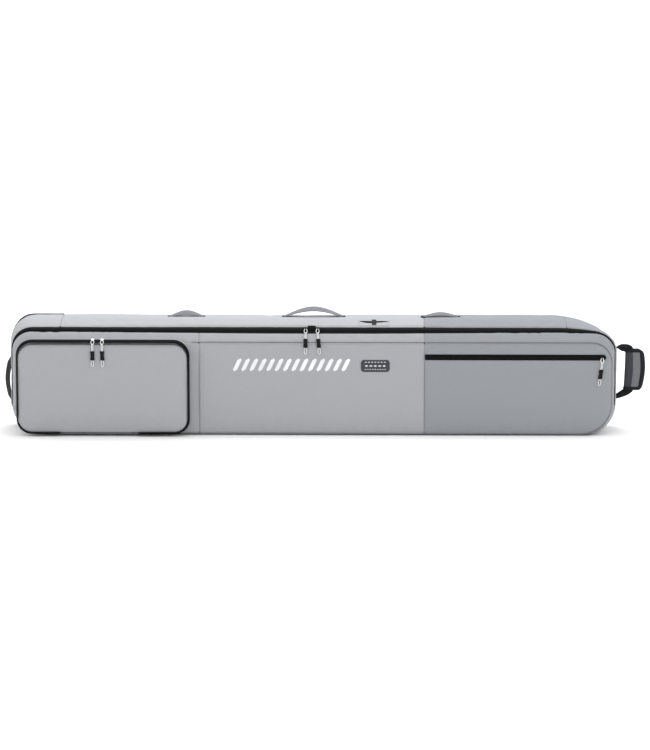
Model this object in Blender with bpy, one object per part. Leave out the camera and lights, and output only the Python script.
"""A long padded snowboard bag on wheels, standing on its long narrow edge.

Frame: +X runs towards the haul handle, -Y towards the front lid and +Z up. The origin is on
the ground under the middle of the bag. All lengths are in metres.

The soft layers are all cut from one surface. A column is one line that runs from the back of
the bag to its front, at one place round its outline, and SECTION says how the outline grows
and shrinks with depth. A layer is that surface moved inwards by its depth.
"""

from collections import namedtuple
from math import atan2, cos, pi, radians, sin

import bmesh
import bpy
import numpy as np

# ---- driving dimensions ----------------------------------------------------------------

GAP = 0.0004                # clearance between neighbouring pieces
LAYER_GAP = 0.0010          # clearance between the bag's soft layers
FABRIC = 0.0016
FOAM = 0.0060
LINING = 0.0009
PLASTIC = 0.0030

# The outline at each depth: depth, height of the top, half length, height of the bottom.
SECTION = (
    (-0.0980, 0.2590, 0.8220, 0.0060),
    (-0.0850, 0.2745, 0.8290, 0.0000),
    (-0.0800, 0.2805, 0.8310, 0.0000),
    (-0.0610, 0.2990, 0.8350, 0.0000),
    (-0.0200, 0.3120, 0.8400, 0.0000),
    (0.0000, 0.3140, 0.8400, 0.0000),
    (0.0720, 0.3140, 0.8400, 0.0000),
    (0.0900, 0.3050, 0.8310, 0.0040),
    (0.0975, 0.2870, 0.8150, 0.0130),
)
FRONT = SECTION[0][0]
BACK = SECTION[-1][0]
BACK_ROWS = (0.0975, 0.0900, 0.0720, -0.0200)
EDGE_SHARES = (0.5, 0.85, 1.0)      # rows between the last of BACK_ROWS and a piece's front edge
RADIUS_TOP = 0.055
RADIUS_BOTTOM = 0.080
CORNER_STEPS = 6
END_X = 0.700               # where the end pieces are sewn to the long strips
SEAM_LEFT = -0.314          # the two upright seams in the lid
SEAM_RIGHT = 0.306

ZIP_DEPTH = -0.0705         # where the two halves of the main zip meet
FOLD_DEPTH = -0.0965        # where base and lid meet along the bottom
TAPE = 0.0090               # depth of one half of the main zip
TAPE_THICK = 0.0010
LID_LAST_STEP = 4           # the lid's gusset stops this many steps down the bottom corner

PANEL_FRONT = FRONT - GAP - FABRIC
PANEL_BACK = BACK + GAP + FABRIC

KICK_TOP = 0.066            # front edge of the kick plate along the top, end and bottom
KICK_END = 0.020
KICK_BOTTOM = 0.050
KICK_PROUD = 0.0014

WHEEL_X = -0.806
WHEEL_Y = 0.070
WHEEL_Z = (0.075, 0.238)
WHEEL_RADIUS = 0.040
WHEEL_WIDTH = 0.032
HUB_RADIUS = 0.0296
AXLE_RADIUS = 0.0040
WELL_HALF = 0.019
WELL_PLATE = 0.004
TUB_X = -0.735
TUB_Y = 0.022
# The tub's far side, drawn inside the kick plate: corners as (x, y).
TUB_OUTLINE = ((TUB_X, TUB_Y), (TUB_X, 0.0953), (-0.795, 0.0953), (-0.815, 0.086), (-0.8322, 0.066),
               (-0.8322, TUB_Y))
BEYOND = (-0.95, 0.15)      # X and Y past the wheel corner, which cutters reach to
ROUND_STEPS = 24
ROD_STEPS = 16

POCKET_LEFT, POCKET_RIGHT = -0.818, -0.339
POCKET_BOTTOM, POCKET_TOP = 0.006, 0.270
POCKET_RADIUS = 0.055
POCKET_EDGE = -0.1150       # depth where the pocket's gusset meets its zip
POCKET_LIP = -0.1255        # depth where that zip meets the pocket's panel
POCKET_PANEL = -0.1290
POCKET_INSET = (0.0100, 0.0070, 0.0070)     # how much the zip draws in: top, sides, bottom

QUICK_Z = 0.2194
QUICK_LEFT, QUICK_RIGHT = 0.308, 0.806
QUICK_HALF = 0.008

PULL_LENGTH = 0.078
PULL_RING = 0.014
# The grip on each pull: distance along the pull, and width there.
GRIP_SHAPE = ((0.0340, 0.0088), (0.0400, 0.0078), (0.0435, 0.0092), (0.0480, 0.0112), (0.0530, 0.0100),
              (0.0580, 0.0082))
GRIP_THICK = 0.0046
GRIP_BORE = (0.0048, 0.0022)
CORD_THICK = 0.0014
CORD_NECK = 0.0020          # half width of the cord between its ring and its grip
RING_WIDE = 0.0056          # half width of the ring

SLIDER_LENGTH = 0.013
SLIDER_WIDTH = 0.0095
SLIDER_BODY = (0.0006, 0.0034)      # heights above the zip's face
BRIDGE_HALF = 0.0042                # half length of the bridge, and its heights
BRIDGE = (0.0030, 0.0076)
BRIDGE_WIDTH = 0.0030
EYE_HALF = 0.0022                   # half length of the hole under the bridge, and its heights
EYE = (0.0037, 0.0063)
PIVOT = 0.0050                      # height of the pull's pivot, in that hole

FOOT_GAP = 0.0022                   # clearance of a handle's middle line at its feet
FOOT_WIDTH = 0.0030                 # width of its webbing there
HANDLE_Y = 0.020
# The webbing on top: name, its two ends along X, rise, width, sway each way and thickness.
TOP_HANDLES = (
    ("carry_handle", -0.080, 0.080, 0.0250, 0.028, 60, 0.0030),
    ("small_loop_left", -0.398, -0.310, 0.0150, 0.024, 45, 0.0020),
    ("small_loop_right", 0.306, 0.400, 0.0075, 0.024, 30, 0.0020),
)
END_HANDLE_Z = (0.085, 0.212)
END_HANDLE_RISE = 0.0150
END_HANDLE_WIDTH = 0.030
END_HANDLE_THICK = 0.0025
END_HANDLE_SWAY = 30
HAUL_X = 0.8425
HAUL_LOW, HAUL_HIGH = 0.095, 0.247
HAUL_BOW = 0.018                    # how far out the webbing runs before it turns
HAUL_WEBBING = (0.0110, 0.0030)     # width and thickness
HAUL_GRIP = (0.104, 0.231)
HAUL_GRIP_X = (0.857, 0.913)
HAUL_GRIP_THICK = 0.016
HAUL_BORE = (0.0020, 0.0060)        # half sizes of the grip's bore along X and Y

GARAGE_X = (-0.0142, 0.0060)
HOLDER_X = (0.126, 0.210)           # the card holder on the top's front slope
HOLDER_DEPTH = -0.0385              # where its middle lies on the slope behind the zip
HOLDER_Y = (-0.0185, 0.0175)        # along the slope from that middle, as the next two are
HOLDER_THICK = 0.0011
SLIT = (0.168, 0.0037, 0.0400, 0.0060)      # middle and half sizes of its slit
TAB_X = (0.162, 0.174)
TAB_Y = (-0.0150, 0.0170)
TAB_THICK = 0.0010
LABEL = (0.132, 0.211, 0.179, 0.212)        # left, right, low and high edges
LABEL_THICK = 0.0008
MESH_POCKET = (0.335, 0.775, 0.040, 0.205)

TIE_DOWN_X = 0.330
TIE_DOWN_WIDTH = 0.025
TIE_DOWN_THICK = 0.0016
# The strap's height above the ground, and how far it stands off the lining there.
TIE_DOWN = ((0.040, 0.0012), (0.080, 0.0040), (0.150, 0.0050), (0.220, 0.0040), (0.260, 0.0012))
BUCKLE = (0.036, 0.009, 0.058)
BUCKLE_OFF = 0.0065                 # how far the buckle's back stands off the lining

Column = namedtuple("Column", "place parting kick last")

# ---- colours ---------------------------------------------------------------------------

COLOURS = {
    "fabric_top": (0.55, 0.56, 0.58),
    "fabric_front": (0.42, 0.42, 0.44),
    "fabric_side": (0.31, 0.33, 0.35),
    "foam": (0.10, 0.10, 0.11),
    "lining": (0.045, 0.047, 0.052),
    "zip": (0.010, 0.010, 0.012),
    "webbing": (0.24, 0.25, 0.27),
    "webbing_dark": (0.050, 0.053, 0.058),
    "moulding": (0.018, 0.018, 0.020),
    "urethane": (0.030, 0.030, 0.033),
    "hub": (0.35, 0.36, 0.37),
    "steel": (0.52, 0.52, 0.53),
    "silver": (0.78, 0.78, 0.77),
    "cord": (0.80, 0.80, 0.80),
    "label": (0.060, 0.062, 0.070),
}
METALS = {"steel", "silver"}


def material(name):
    """The Principled material of this name, made once."""
    found = bpy.data.materials.get(name)
    if found:
        return found
    made = bpy.data.materials.new(name)
    made.use_nodes = True
    shader = made.node_tree.nodes["Principled BSDF"]
    shader.inputs["Base Color"].default_value = (*COLOURS[name], 1.0)
    shader.inputs["Roughness"].default_value = 0.3 if name in METALS else 0.8
    shader.inputs["Metallic"].default_value = 1.0 if name in METALS else 0.0
    return made


# ---- mesh helpers ----------------------------------------------------------------------


def add(name, points, faces, finish, origin=(0.0, 0.0, 0.0)):
    """One closed body as an object of its own, with its faces turned out."""
    start = np.asarray(origin, float)
    mesh = bpy.data.meshes.new(name)
    mesh.from_pydata([tuple(np.asarray(p, float) - start) for p in points], [], faces)
    shape = bmesh.new()
    shape.from_mesh(mesh)
    bmesh.ops.recalc_face_normals(shape, faces=shape.faces)
    shape.to_mesh(mesh)
    shape.free()
    made = bpy.data.objects.new(name, mesh)
    made.location = start
    made.data.materials.append(material(finish))
    bpy.context.scene.collection.objects.link(made)
    return made


def as_tool(piece):
    """Mark a piece as one that only shapes another."""
    piece.hide_render = True
    piece.display_type = "WIRE"
    return piece


def cutter(name, low, high):
    """A box that cuts another piece and isn't a piece itself."""
    return as_tool(add(name, *box_mesh(low, high), "moulding"))


def boolean(target, tool, operation="DIFFERENCE"):
    """Cut target with tool, which is hidden or left as it is."""
    step = target.modifiers.new(tool.name, "BOOLEAN")
    step.operation = operation
    step.object = tool
    step.solver = "EXACT"


def box_mesh(low, high):
    """Corners and faces of a box."""
    points = [
        (x, y, z)
        for x in (low[0], high[0])
        for y in (low[1], high[1])
        for z in (low[2], high[2])
    ]
    faces = [(0, 1, 3, 2), (4, 6, 7, 5), (0, 4, 5, 1), (2, 3, 7, 6), (0, 2, 6, 4), (1, 5, 7, 3)]
    return points, faces


def face_normal(points, face):
    """Unit normal of a face by Newell's sum, which suits bent faces too."""
    total = np.zeros(3)
    for k, corner in enumerate(face):
        total += np.cross(points[corner], points[face[(k + 1) % len(face)]])
    return total / np.linalg.norm(total)


def moved_in(points, faces, distance):
    """The surface moved inwards so that every face of it moves by the same distance."""
    around = [[] for _ in points]
    for face in faces:
        normal = face_normal(points, face)
        for corner in face:
            around[corner].append(normal)
    return [
        point - np.linalg.lstsq(np.array(normals), np.full(len(normals), distance), rcond=0.05)[0]
        for point, normals in zip(points, around)
    ]


def border(faces):
    """The edges that only one face uses, in that face's direction."""
    edges = {(f[k], f[(k + 1) % len(f)]) for f in faces for k in range(len(f))}
    return [edge for edge in sorted(edges) if (edge[1], edge[0]) not in edges]


def both_sides(faces, count):
    """Faces of a closed body whose points are one side's, followed by the other side's."""
    closed = list(faces)
    closed += [tuple(c + count for c in reversed(face)) for face in faces]
    closed += [(b, a, a + count, b + count) for a, b in border(faces)]
    return closed


def layer(name, points, faces, depth, thickness, finish):
    """A sheet of even thickness, lying at this depth under a surface whose faces turn out."""
    points = [np.array(p, float) for p in points]
    outer = moved_in(points, faces, depth)
    inner = moved_in(points, faces, depth + thickness)
    return add(name, outer + inner, both_sides(faces, len(points)), finish)


def plate(name, outline, near, far, finish, across="y"):
    """A flat plate between two depths: its outline is (x, z) across y, or (x, y) across z."""
    def place(point, depth):
        if across == "y":
            return (point[0], depth, point[1])
        return (point[0], point[1], depth)

    rings = [[place(point, depth) for point in outline] for depth in (near, far)]
    return swept(name, rings, finish)


def turned(name, profile, centre, finish, steps=ROUND_STEPS):
    """A closed profile of (radius, height) turned about an upright axis through centre."""
    count = len(profile)
    points = []
    for step in range(steps):
        angle = 2 * pi * step / steps
        points += [
            (centre[0] + r * cos(angle), centre[1] + r * sin(angle), centre[2] + h)
            for r, h in profile
        ]
    faces = []
    for step in range(steps):
        here = step * count
        there = (step + 1) % steps * count
        faces += [
            (here + k, here + (k + 1) % count, there + (k + 1) % count, there + k)
            for k in range(count)
        ]
    return add(name, points, faces, finish, centre)


def swept(name, rings, finish, origin=(0.0, 0.0, 0.0), closed=False):
    """Rings of equal length joined into a tube, with its ends filled or joined to each other."""
    count = len(rings[0])
    points = [p for ring in rings for p in ring]
    faces = []
    spans = len(rings) if closed else len(rings) - 1
    for step in range(spans):
        here = step * count
        there = (step + 1) % len(rings) * count
        faces += [
            (here + k, here + (k + 1) % count, there + (k + 1) % count, there + k)
            for k in range(count)
        ]
    if not closed:
        faces.append(tuple(range(count)))
        faces.append(tuple(range((len(rings) - 1) * count, len(rings) * count)))
    return add(name, points, faces, finish, origin)


def strap(name, path, widths, thick, finish, origin, plane="xz"):
    """A flat strap along a path in the XZ plane, as wide across Y as widths says at each point.

    In the plane "yz" the path's points are (y, z) at the origin's X and the width is along X.
    """
    path = [np.array(p, float) for p in path]
    rings = []
    for k, point in enumerate(path):
        along = path[min(k + 1, len(path) - 1)] - path[max(k - 1, 0)]
        across = np.array([-along[1], along[0]]) / np.linalg.norm(along) * thick / 2
        half = widths[k] / 2
        corners = ((point + across, half), (point + across, -half), (point - across, -half),
                   (point - across, half))
        if plane == "xz":
            rings.append([(p[0], origin[1] + w, p[1]) for p, w in corners])
        else:
            rings.append([(origin[0] + w, p[0], p[1]) for p, w in corners])
    return swept(name, rings, finish, origin)


# ---- the bag's surface -----------------------------------------------------------------


def section(depth):
    """Height of the top, half length and height of the bottom at this depth."""
    depths = [row[0] for row in SECTION]
    return tuple(float(np.interp(depth, depths, [row[k] for row in SECTION])) for k in (1, 2, 3))


def straight_columns(x_from, x_to, steps, top):
    """Columns along the top or the bottom of the bag."""
    made = []
    for k in range(steps + 1):
        x = x_from + (x_to - x_from) * k / steps

        def place(depth, x=x):
            height, _, base = section(depth)
            return (x, depth, height if top else base)

        made.append(Column(place, ZIP_DEPTH if top else FOLD_DEPTH,
                           KICK_TOP if top else KICK_BOTTOM, top))
    return made


def end_columns(side, edge_x=END_X):
    """Columns round one end of the bag, from its top strip down to its bottom strip."""
    made = straight_columns(side * edge_x, side * edge_x, 1, True)[:1]
    for k in range(CORNER_STEPS + 1):
        angle = radians(90 - 90 * k / CORNER_STEPS)

        def upper(depth, angle=angle):
            height, half, _ = section(depth)
            return (side * (half - RADIUS_TOP + RADIUS_TOP * cos(angle)), depth,
                    height - RADIUS_TOP + RADIUS_TOP * sin(angle))

        made.append(Column(upper, ZIP_DEPTH, KICK_TOP + (KICK_END - KICK_TOP) * k / CORNER_STEPS, True))
    for k in range(CORNER_STEPS + 1):
        share = k / CORNER_STEPS
        angle = radians(90 * share)

        def lower(depth, angle=angle):
            _, half, base = section(depth)
            return (side * (half - RADIUS_BOTTOM + RADIUS_BOTTOM * cos(angle)), depth,
                    base + RADIUS_BOTTOM - RADIUS_BOTTOM * sin(angle))

        parting = ZIP_DEPTH + (FOLD_DEPTH - ZIP_DEPTH) * sin(angle)
        made.append(Column(lower, parting, KICK_END + (KICK_BOTTOM - KICK_END) * share, k == 0))
    made += straight_columns(side * edge_x, side * edge_x, 1, False)[:1]
    return made


def fabric_edge(column):
    """How far forward the base's fabric reaches: to the zip's tape, or to the lid."""
    return column.parting + (TAPE + GAP if column.last else GAP)


def back_rows(column, start=BACK):
    """Depths of the rows from a piece's back edge to the front edge of the base."""
    edge = fabric_edge(column)
    last = BACK_ROWS[-1]
    rows = [start] + [d for d in BACK_ROWS if d < start - GAP]
    return rows + [last + (edge - last) * share for share in EDGE_SHARES]


def grid(columns, rows_of):
    """The surface through some columns: its points, and faces that turn out of the bag."""
    rows = [rows_of(column) for column in columns]
    count = len(rows[0])
    points = [column.place(depth) for column, depths in zip(columns, rows) for depth in depths]
    faces = []
    for c in range(len(columns) - 1):
        for r in range(count - 1):
            here = c * count + r
            faces.append((here, here + 1, here + count + 1, here + count))
    return points, faces


def whole_outline():
    """Every column once, clockwise as seen from the front."""
    top = straight_columns(-END_X + GAP, END_X - GAP, 4, True)
    right = end_columns(1)
    bottom = straight_columns(END_X - GAP, -END_X + GAP, 4, False)
    left = end_columns(-1)[::-1]
    return top + right + bottom + left


def tray(rows_of):
    """The whole outline's surface, closed round and with its back filled."""
    columns = whole_outline()
    rows = [rows_of(column) for column in columns]
    count = len(rows[0])
    points = [column.place(depth) for column, depths in zip(columns, rows) for depth in depths]
    faces = []
    for c in range(len(columns)):
        here = c * count
        there = (c + 1) % len(columns) * count
        faces += [(here + r, here + r + 1, there + r + 1, there + r) for r in range(count - 1)]
    faces.append(tuple(c * count for c in range(len(columns))))
    return points, faces


def outline(depth, inset=0.0):
    """The bag's outline in the XZ plane at this depth, drawn in by inset."""
    flat = [(x, z) for x, _, z in (column.place(depth) for column in whole_outline())]
    if not inset:
        return flat
    points = [np.array((x, 0.0, z)) for x, z in flat]
    count = len(points)
    drawn = []
    for k, point in enumerate(points):
        along = points[(k + 1) % count] - points[k - 1]
        inwards = np.array((along[2], 0.0, -along[0])) / np.linalg.norm(along)
        moved = point + inwards * inset
        drawn.append((moved[0], moved[2]))
    return drawn


def clipped(points, low, high):
    """The part of an outline between two X values, with straight cut edges."""
    kept = []
    count = len(points)
    for k in range(count):
        a, b = points[k], points[(k + 1) % count]
        if low <= a[0] <= high:
            kept.append(a)
        crossings = sorted(
            (x for x in (low, high) if (a[0] - x) * (b[0] - x) < 0),
            key=lambda x: abs(x - a[0]),
        )
        for x in crossings:
            share = (x - a[0]) / (b[0] - a[0])
            kept.append((x, a[1] + (b[1] - a[1]) * share))
    return kept


# ---- the base: fabric, foam and lining -------------------------------------------------


def base_fabric():
    """The back panel and the four gusset pieces round it."""
    plate("back_panel", clipped(outline(BACK), -END_X + GAP, 1.0), BACK + GAP, PANEL_BACK,
          "fabric_side")
    strips = (("top_gusset", True, "fabric_top"), ("bottom_gusset", False, "fabric_side"))
    for name, top, finish in strips:
        columns = straight_columns(-END_X + GAP, END_X - GAP, 3, top)
        columns = columns if top else columns[::-1]
        layer(name, *grid(columns, back_rows), 0.0, FABRIC, finish)
    layer("right_end_gusset", *grid(end_columns(1), back_rows), 0.0, FABRIC, "fabric_side")

    def from_kick_plate(column):
        return back_rows(column, column.kick - GAP)

    layer("left_end_gusset", *grid(end_columns(-1)[::-1], from_kick_plate), 0.0, FABRIC, "fabric_side")


def base_padding():
    """The foam tray and the lining inside it, both cut away round the wheel tub."""
    foam = layer("base_foam", *tray(back_rows), FABRIC + LAYER_GAP, FOAM, "foam")
    depth = FABRIC + FOAM + 2 * LAYER_GAP
    lining = layer("base_lining", *tray(back_rows), depth, LINING, "lining")
    low = WHEEL_Z[0] - WELL_HALF - WELL_PLATE - GAP
    high = WHEEL_Z[1] + WELL_HALF + WELL_PLATE + GAP
    bay = cutter("wheel_bay", (BEYOND[0], TUB_Y - GAP, low), (TUB_X + GAP, BEYOND[1], high))
    boolean(foam, bay)
    boolean(lining, bay)


# ---- wheels ----------------------------------------------------------------------------


def kick_plate():
    """The moulded guard round the wheel end's rear edge, with a window for each wheel."""
    def rows_of(column):
        return [BACK, BACK_ROWS[1], BACK_ROWS[2], column.kick + GAP]

    columns = end_columns(-1)[::-1]
    points, faces = grid(columns, rows_of)
    faces.append(tuple(c * 4 for c in range(len(columns))))
    made = layer("kick_plate", points, faces, -KICK_PROUD, PLASTIC, "moulding")
    for k, z in enumerate(WHEEL_Z):
        half = WELL_HALF - 0.0005
        window = cutter(f"wheel_window_{k}", (BEYOND[0], TUB_Y + 0.0045, z - half),
                        (WHEEL_X + WHEEL_RADIUS + 0.0035, BEYOND[1], z + half))
        boolean(made, window)


def wheel_tub():
    """The moulded tub behind the kick plate: two wells and the empty space between them."""
    low = WHEEL_Z[0] - WELL_HALF - WELL_PLATE
    high = WHEEL_Z[1] + WELL_HALF + WELL_PLATE
    tub = plate("wheel_tub", TUB_OUTLINE, low, high, "moulding", across="z")
    levels = (low, WHEEL_Z[0] + WELL_HALF, WHEEL_Z[1] - WELL_HALF - WELL_PLATE)
    tops = (WHEEL_Z[0] + WELL_HALF, WHEEL_Z[1] - WELL_HALF - WELL_PLATE, high - WELL_PLATE)
    for k, (floor, ceiling) in enumerate(zip(levels, tops)):
        void = cutter(f"tub_void_{k}", (BEYOND[0], TUB_Y + PLASTIC, floor + WELL_PLATE),
                      (TUB_X - PLASTIC, BEYOND[1], ceiling))
        boolean(tub, void)
    for k, z in enumerate(WHEEL_Z):
        reach = WELL_HALF + 2 * WELL_PLATE
        boolean(tub, as_tool(rod(f"axle_drill_{k}", AXLE_RADIUS + 0.0005, reach, z, "moulding")))


def rod(name, radius, reach, z, finish):
    """A round rod on a wheel's axis, reaching this far each way from the wheel's middle."""
    circle = [2 * pi * k / ROD_STEPS for k in range(ROD_STEPS)]
    rings = [
        [(WHEEL_X + radius * cos(angle), WHEEL_Y + radius * sin(angle), height) for angle in circle]
        for height in (z - reach, z + reach)
    ]
    return swept(name, rings, finish, (WHEEL_X, WHEEL_Y, z))


def wheels():
    """Two wheels, each a tyre on a hub that turns on its own axle."""
    half = WHEEL_WIDTH / 2
    for where, z in zip(("lower", "upper"), WHEEL_Z):
        centre = (WHEEL_X, WHEEL_Y, z)
        tyre = [(0.0300, -half + 0.001), (0.0375, -half), (WHEEL_RADIUS, -half + 0.004),
                (WHEEL_RADIUS, half - 0.004), (0.0375, half), (0.0300, half - 0.001)]
        turned(f"tyre_{where}", tyre, centre, "urethane")
        bore = AXLE_RADIUS + 0.0007
        hub = [(bore, -0.014), (0.010, -0.014), (0.012, -0.005), (0.024, -0.005),
               (0.026, -0.013), (HUB_RADIUS, -0.013), (HUB_RADIUS, 0.013), (0.026, 0.013),
               (0.024, 0.005), (0.012, 0.005), (0.010, 0.014), (bore, 0.014)]
        turned(f"hub_{where}", hub, centre, "hub")
        rod(f"axle_{where}", AXLE_RADIUS, WELL_HALF + WELL_PLATE - 0.0005, z, "steel")


# ---- the lid ---------------------------------------------------------------------------


def lid_rows(column):
    """Depths of the lid gusset's rows, from the zip's tape to the front seam."""
    start = column.parting - (TAPE + GAP if column.last else GAP)
    return [start + (FRONT - start) * share for share in (0.0, 0.4, 1.0)]


def lid_fabric():
    """The front panel in three pieces, and the gusset in three pieces behind it."""
    columns_right = end_columns(1)[1:CORNER_STEPS + LID_LAST_STEP + 2]
    columns_left = end_columns(-1)[1:CORNER_STEPS + LID_LAST_STEP + 2][::-1]
    edge = GAP / 2
    spans = (
        ("left", columns_left + straight_columns(-0.75, SEAM_LEFT - edge, 1, True), "fabric_top"),
        ("middle", straight_columns(SEAM_LEFT + edge, SEAM_RIGHT - edge, 1, True), "fabric_top"),
        ("right", straight_columns(SEAM_RIGHT + edge, 0.75, 1, True) + columns_right, "fabric_side"),
    )
    for name, columns, finish in spans:
        layer(f"lid_gusset_{name}", *grid(columns, lid_rows), 0.0, FABRIC, finish)
    front = outline(FRONT)
    sections = (("left", -1.0, SEAM_LEFT - edge, "fabric_front"),
                ("middle", SEAM_LEFT + edge, SEAM_RIGHT - edge, "fabric_front"),
                ("right", SEAM_RIGHT + edge, 1.0, "fabric_side"))
    for name, low, high, finish in sections:
        plate(f"front_panel_{name}", clipped(front, low, high), PANEL_FRONT, FRONT - GAP, finish)


def lid_padding():
    """The lid's foam, its lining and the flat mesh pocket inside it."""
    near = FRONT + GAP / 2
    plate("lid_foam", outline(FRONT, 0.013), near, near + FOAM, "foam")
    near += FOAM + GAP
    plate("lid_lining", outline(FRONT, 0.014), near, near + LINING, "lining")
    near += LINING + GAP
    plate("lid_mesh_pocket", rounded(*MESH_POCKET, 0.025), near, near + LINING, "lining")


def rounded(left, right, low, high, radius, steps=CORNER_STEPS):
    """A rectangle with round corners in the XZ plane, clockwise from its upper left."""
    made = []
    corners = ((left + radius, high - radius, 180), (right - radius, high - radius, 90),
               (right - radius, low + radius, 0), (left + radius, low + radius, -90))
    for x, z, start in corners:
        for k in range(steps + 1):
            angle = radians(start - 90 * k / steps)
            made.append((x + radius * cos(angle), z + radius * sin(angle)))
    return made


# ---- zips ------------------------------------------------------------------------------


def main_zip():
    """The two halves of the zip that holds the lid to the base."""
    columns = end_columns(-1)[1:CORNER_STEPS + 3][::-1]
    columns += straight_columns(-0.75, 0.75, 6, True)
    columns += end_columns(1)[1:CORNER_STEPS + 3]

    def rear(column):
        return [column.parting + TAPE, column.parting + GAP / 2]

    def front(column):
        return [column.parting - GAP / 2, column.parting - TAPE]

    layer("main_zip_rear", *grid(columns, rear), 0.0, TAPE_THICK, "zip")
    layer("main_zip_front", *grid(columns, front), 0.0, TAPE_THICK, "zip")


def pocket_ring(share, steps=CORNER_STEPS):
    """The pocket's outline, drawn in by a share of the zip's inset."""
    top, sides, bottom = (inset * share for inset in POCKET_INSET)
    return rounded(POCKET_LEFT + sides, POCKET_RIGHT - sides, POCKET_BOTTOM + bottom,
                   POCKET_TOP - top, POCKET_RADIUS, steps)


def boot_pocket():
    """The big front pocket: gusset and inner zip half on the lid, outer half and panel on the flap."""
    def ring_at(share, depth):
        return [(x, depth, z) for x, z in pocket_ring(share)]

    back = PANEL_FRONT - GAP
    sheet("boot_pocket_gusset", [ring_at(0.0, back), ring_at(0.0, POCKET_EDGE)], FABRIC,
          "fabric_front", True)
    span = POCKET_LIP - POCKET_EDGE
    first = 4 * (CORNER_STEPS + 1) - 2
    bands = (("boot_zip_inner", 0.15, 0.48), ("boot_zip_outer", 0.52, 1.0))
    for name, start, end in bands:
        rings = []
        for share in (start, end):
            ring = ring_at(share, POCKET_EDGE + span * share)
            run = ring[first - 1:] + ring[:2 * (CORNER_STEPS + 1) + 3]
            rings.append(run)
        sheet(name, rings, TAPE_THICK, "zip", False)
    plate("boot_pocket_panel", pocket_ring(1.0), POCKET_PANEL, POCKET_PANEL + FABRIC, "fabric_front")


def sheet(name, rings, thick, finish, closed):
    """A band through two rings of points that run clockwise as seen from the front."""
    count = len(rings[0])
    points = [p for ring in rings for p in ring]
    spans = count if closed else count - 1
    faces = [(k, count + k, count + (k + 1) % count, (k + 1) % count) for k in range(spans)]
    layer(name, points, faces, 0.0, thick, finish)


def quick_zip():
    """The straight zip across the lid's right panel."""
    near = PANEL_FRONT - GAP
    plate("quick_zip_tape", rounded(QUICK_LEFT, QUICK_RIGHT, QUICK_Z - QUICK_HALF, QUICK_Z + QUICK_HALF,
                                    0.003, 2), near - TAPE_THICK, near, "zip")


# ---- sliders and pulls -----------------------------------------------------------------

Track = namedtuple("Track", "origin along out path")


def track_at(y, z, along, route):
    """Where a slider sits: a place on its zip, the way down the zip's face, and its pull's route."""
    along = np.array(along, float) / np.linalg.norm(along)
    out = np.array((-abs(along[1]), abs(along[0])))
    origin = np.array((y, z))
    bar = origin + PIVOT * out
    path = [bar] + [np.array(p, float) for p in route(bar, along)]
    return Track(origin, along, out, path)


def main_track():
    """The main zip's face along the top, and a pull that drapes over the lid's front seam."""
    rear, fore = -0.0610, -0.0800
    along = (fore - rear, section(fore)[0] - section(rear)[0])
    seam = section(FRONT)[0]

    def route(bar, along):
        return (bar + 0.012 * along, (FRONT - 0.0050, seam + 0.0020), (FRONT - 0.0075, seam - 0.0070),
                (FRONT - 0.0078, seam - 0.0500))

    return track_at(ZIP_DEPTH, section(ZIP_DEPTH)[0], along, route)


def pocket_track():
    """The boot pocket's zip along its top, and a pull that hangs straight down."""
    along = (POCKET_LIP - POCKET_EDGE, -POCKET_INSET[0])

    def route(bar, along):
        turn = bar + 0.009 * along
        return (turn, (POCKET_PANEL - 0.0058, turn[1] - 0.005), (POCKET_PANEL - 0.0058, turn[1] - 0.090))

    return track_at((POCKET_EDGE + POCKET_LIP) / 2, POCKET_TOP - POCKET_INSET[0] / 2, along, route)


def quick_track():
    """The quick pocket's zip, and a pull that hangs straight down."""
    def route(bar, along):
        return (bar + 0.090 * along,)

    return track_at(PANEL_FRONT - GAP - TAPE_THICK, QUICK_Z, (0.0, -1.0), route)


def walk(path, distance):
    """The place and direction this far along a path of (y, z) points."""
    for a, b in zip(path, path[1:]):
        length = np.linalg.norm(b - a)
        if distance <= length:
            return a + (b - a) * distance / length, (b - a) / length
        distance -= length
    return path[-1], (path[-1] - path[-2]) / np.linalg.norm(path[-1] - path[-2])


def slider(name, x, track):
    """A slider: a flat body on the zip, with an arched bridge that the pull's ring hangs in."""
    def block(label, half_x, along, out):
        points, _ = box_mesh((-half_x, along[0], out[0]), (half_x, along[1], out[1]))
        placed = []
        for across, s, n in points:
            y, z = track.origin + s * track.along + n * track.out
            placed.append((x + across, y, z))
        return add(label, placed, box_mesh((0, 0, 0), (1, 1, 1))[1], "silver")

    half = SLIDER_LENGTH / 2
    body = block(name, SLIDER_WIDTH / 2, (-half, half), SLIDER_BODY)
    bridge = block(f"{name}_bridge", BRIDGE_WIDTH / 2, (-BRIDGE_HALF, BRIDGE_HALF), BRIDGE)
    eye = block(f"{name}_eye", SLIDER_WIDTH / 2 - GAP, (-EYE_HALF, EYE_HALF), EYE)
    boolean(body, as_tool(bridge), "UNION")
    boolean(body, as_tool(eye))


def bent(flat, track, x, thick):
    """Points given as (distance along the pull, place across it), as two bent faces."""
    sides = []
    for side in (1, -1):
        for s, across in flat:
            (y, z), (dy, dz) = walk(track.path, max(s, 0.0))
            shift = min(s, 0.0)
            y, z = y + dy * shift, z + dz * shift
            sides.append((x + across, y + side * thick / 2 * dz, z - side * thick / 2 * dy))
    return sides


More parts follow.
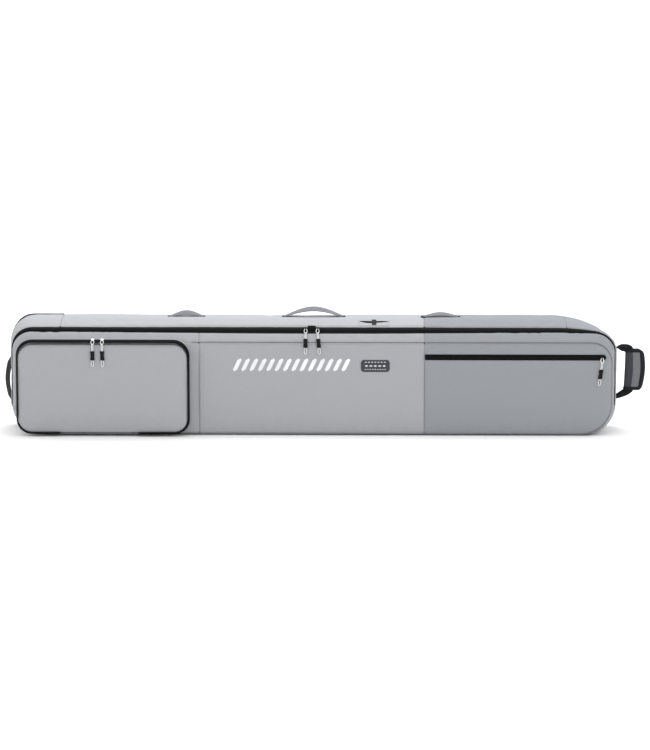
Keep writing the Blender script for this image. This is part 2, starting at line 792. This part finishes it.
def pull(name, x, track):
    """A pull: a ring through the slider's bridge, a cord with a loop at its end, and a grip on it."""
    bar = 0.0008
    ring_hole = [(bar, -0.0026), (bar, 0.0026), (0.0085, 0.0030), (0.0105, 0.0), (0.0085, -0.0030)]
    loop_from = GRIP_SHAPE[-1][0]
    loop_hole = [(loop_from + 0.005, 0.0), (loop_from + 0.008, 0.0022),
                 (PULL_LENGTH - 0.006, 0.0026), (PULL_LENGTH - 0.003, 0.0),
                 (PULL_LENGTH - 0.006, -0.0026), (loop_from + 0.008, -0.0022)]
    right = [(-bar, 0.0044), (0.0060, RING_WIDE), (0.0110, 0.0050), (PULL_RING, CORD_NECK),
             (0.0240, CORD_NECK)]
    right += [(s, CORD_NECK) for s, _ in GRIP_SHAPE]
    right += [(loop_from + 0.006, 0.0042), (PULL_LENGTH - 0.006, 0.0050), (PULL_LENGTH - 0.001, 0.0026)]
    outer = right + [(s, -across) for s, across in reversed(right)]
    points, faces = holed(outer, (ring_hole, loop_hole))
    origin = (x, *track.path[0])
    add(f"{name}_cord", bent(points, track, x, CORD_THICK), both_sides(faces, len(points)), "cord", origin)
    sleeve(f"{name}_grip", x, track, origin)


def holed(outer, holes):
    """A flat outline with holes, as points and triangles."""
    shape = bmesh.new()
    edges = []
    for loop in (outer, *holes):
        corners = [shape.verts.new((s, across, 0.0)) for s, across in loop]
        edges += [shape.edges.new((a, b)) for a, b in zip(corners, corners[1:] + corners[:1])]
    bmesh.ops.triangle_fill(shape, use_beauty=True, use_dissolve=False, edges=edges,
                            normal=(0.0, 0.0, 1.0))
    shape.verts.index_update()
    points = [(v.co.x, v.co.y) for v in shape.verts]
    faces = []
    for face in shape.faces:
        corners = [v.index for v in face.verts]
        faces.append(tuple(corners if face.normal.z > 0 else corners[::-1]))
    shape.free()
    return points, faces


def sleeve(name, x, track, origin):
    """The grip: a waisted rubber sleeve round the pull's cord."""
    outside = [(s, wide, GRIP_THICK) for s, wide in GRIP_SHAPE]
    inside = [(s, *GRIP_BORE) for s, _ in reversed(GRIP_SHAPE)]
    rings = []
    for s, wide, deep in outside + inside:
        (y, z), (dy, dz) = walk(track.path, s)
        corners = ((-1, -1), (1, -1), (1, 1), (-1, 1))
        rings.append([(x + i * wide / 2, y + j * deep / 2 * dz, z - j * deep / 2 * dy) for i, j in corners])
    swept(name, rings, "moulding", origin, closed=True)


def sliders_and_pulls():
    """The five zip sliders, each with its pull."""
    main, pocket, quick = main_track(), pocket_track(), quick_track()
    places = (("main_left", -0.0206, main), ("main_right", 0.0124, main),
              ("boot_left", -0.6050, pocket), ("boot_right", -0.5790, pocket),
              ("quick", 0.7950, quick))
    for name, x, track in places:
        slider(f"slider_{name}", x, track)
        pull(f"pull_{name}", x, track)


# ---- handles, loops and trim -----------------------------------------------------------


def arch(x_from, x_to, foot, rise, steps=12, flat=0.55):
    """A handle's line in the XZ plane: up from one foot, level, and down to the other."""
    path = []
    for k in range(steps + 1):
        share = k / steps
        lift = min(1.0, sin(pi * share) / flat)
        path.append((x_from + (x_to - x_from) * share, foot + rise * sin(lift * pi / 2)))
    return path


def clear_widths(path, foot, wide, sway):
    """Strap widths that keep clear of the bag below when the handle sways by this angle."""
    slope = cos(radians(sway)) / sin(radians(sway))
    return [max(FOOT_WIDTH, min(wide, 2 * (z - foot) * slope + FOOT_WIDTH)) for _, z in path]


def top_handles():
    """The carry handle in the middle of the top and the small webbing loops beside it."""
    foot = section(0.0)[0] + FOOT_GAP
    for name, x_from, x_to, rise, wide, sway, thick in TOP_HANDLES:
        path = arch(x_from, x_to, foot, rise)
        strap(name, path, clear_widths(path, foot, wide, sway), thick, "webbing",
              ((x_from + x_to) / 2, HANDLE_Y, foot))


def end_handle():
    """The low webbing handle on the wheel end."""
    foot = section(0.0)[1] + FOOT_GAP
    low, high = END_HANDLE_Z
    line = arch(low, high, foot, END_HANDLE_RISE)
    widths = clear_widths(line, foot, END_HANDLE_WIDTH, END_HANDLE_SWAY)
    path = [(-out, z) for z, out in line]
    strap("end_handle", path, widths, END_HANDLE_THICK, "webbing_dark", (-foot, 0.0, (low + high) / 2))


def haul_handle():
    """The padded haul handle: a webbing loop through a sleeve that wraps round it."""
    reach = (HAUL_GRIP_X[0] + HAUL_GRIP_X[1]) / 2
    bow = HAUL_X + HAUL_BOW
    path = [(HAUL_X, HAUL_HIGH), (bow, HAUL_HIGH + 0.006), (reach - 0.006, HAUL_HIGH + 0.001),
            (reach, HAUL_HIGH - 0.012), (reach, HAUL_LOW + 0.006), (reach - 0.006, HAUL_LOW - 0.004),
            (bow, HAUL_LOW - 0.006), (HAUL_X, HAUL_LOW)]
    wide, thick = HAUL_WEBBING
    widths = [thick] + [wide] * (len(path) - 2) + [thick]
    origin = (HAUL_X, 0.0, (HAUL_LOW + HAUL_HIGH) / 2)
    strap("haul_webbing", path, widths, thick, "webbing_dark", origin)
    haul_grip(reach, origin)


def haul_grip(reach, origin):
    """The padded sleeve with round edges, hollow where the webbing passes."""
    low, high = HAUL_GRIP
    half = (HAUL_GRIP_X[1] - HAUL_GRIP_X[0]) / 2
    corner = HAUL_GRIP_THICK / 2
    steps = 4
    outside = []
    for centre, start in ((half - corner, -90), (corner - half, 90)):
        for k in range(steps + 1):
            angle = radians(start + 180 * k / steps)
            outside.append((reach + centre + corner * cos(angle), corner * sin(angle)))
    bore_x, bore_y = HAUL_BORE
    bore = [(reach + i * bore_x, j * bore_y) for i, j in ((1, -1), (1, 1), (-1, 1), (-1, -1))]
    pierced("haul_grip", outside, bore, low, high, "webbing_dark", origin)


def pierced(name, outside, hole, low, high, finish, origin=(0.0, 0.0, 0.0)):
    """An upright prism between two heights, with a straight hole through it."""
    points, faces = holed(outside, (hole,))
    placed = [(x, y, z) for z in (low, high) for x, y in points]
    return add(name, placed, both_sides(faces, len(points)), finish, origin)


def zip_garage():
    """The fabric hood between the two main sliders, on the rear half of the zip."""
    main = main_track()
    profile = ((-0.0115, 0.0005), (-0.0010, 0.0005), (-0.0010, 0.0030), (-0.0060, 0.0055), (-0.0115, 0.0030))
    flat = [main.origin + s * main.along + n * main.out for s, n in profile]
    swept("zip_garage", [[(x, y, z) for y, z in flat] for x in GARAGE_X], "zip")


def on_slope(points, depth):
    """Points that lie flat about the origin, moved onto the slope of the top at a depth."""
    step = 0.001
    rise = section(depth + step)[0] - section(depth - step)[0]
    angle = atan2(rise, 2 * step)
    return [(x, depth + y * cos(angle) - z * sin(angle), section(depth)[0] + y * sin(angle) + z * cos(angle))
            for x, y, z in points]


def card_holder():
    """The card holder behind the zip with a lens-shaped slit, and the webbing tab across it."""
    (left, right), (fore, rear) = HOLDER_X, HOLDER_Y
    outside = [(left, fore), (right, fore), (right, rear), (left, rear)]
    flat, faces = holed(outside, (lens(*SLIT),))
    placed = [(x, y, z) for z in (GAP, GAP + HOLDER_THICK) for x, y in flat]
    add("card_holder", on_slope(placed, HOLDER_DEPTH), both_sides(faces, len(flat)), "fabric_top")
    near = HOLDER_THICK + 2 * GAP
    points, faces = box_mesh((TAB_X[0], TAB_Y[0], near), (TAB_X[1], TAB_Y[1], near + TAB_THICK))
    add("card_holder_tab", on_slope(points, HOLDER_DEPTH), faces, "webbing")


def woven_label():
    """The small label on the front panel."""
    near = PANEL_FRONT - GAP
    plate("woven_label", rounded(*LABEL, 0.004, 2), near - LABEL_THICK, near, "label")


def lens(x, y, half_x, half_y, steps=5):
    """A lens-shaped outline in the XY plane."""
    made = []
    for side in (1, -1):
        for k in range(steps):
            share = -1 + 2 * k / steps
            made.append((x + side * half_x * share, y + side * half_y * (1 - share * share)))
    return made


def tie_downs():
    """The two straps inside that hold the board, each with its buckle."""
    lining = BACK - FABRIC - FOAM - LINING - 3 * LAYER_GAP
    wide, deep, tall = BUCKLE
    middle = (TIE_DOWN[0][0] + TIE_DOWN[-1][0]) / 2
    path = [(lining - off, z) for z, off in TIE_DOWN]
    for where, x in (("left", -TIE_DOWN_X), ("right", TIE_DOWN_X)):
        strap(f"tie_down_{where}", path, [TIE_DOWN_WIDTH] * len(path), TIE_DOWN_THICK, "webbing_dark",
              (x, lining, middle), plane="yz")
        near = lining - BUCKLE_OFF
        low, high = (x - wide / 2, near - deep, middle - tall / 2), (x + wide / 2, near, middle + tall / 2)
        buckle = add(f"buckle_{where}", *box_mesh(low, high), "moulding")
        bevel = buckle.modifiers.new("edges", "BEVEL")
        bevel.width = 0.003
        bevel.segments = 2


# ---- the whole bag ---------------------------------------------------------------------


def main():
    for old in list(bpy.data.objects):
        bpy.data.objects.remove(old)
    base_fabric()
    base_padding()
    kick_plate()
    wheel_tub()
    wheels()
    lid_fabric()
    lid_padding()
    main_zip()
    boot_pocket()
    quick_zip()
    sliders_and_pulls()
    top_handles()
    end_handle()
    haul_handle()
    zip_garage()
    card_holder()
    woven_label()
    tie_downs()


main()
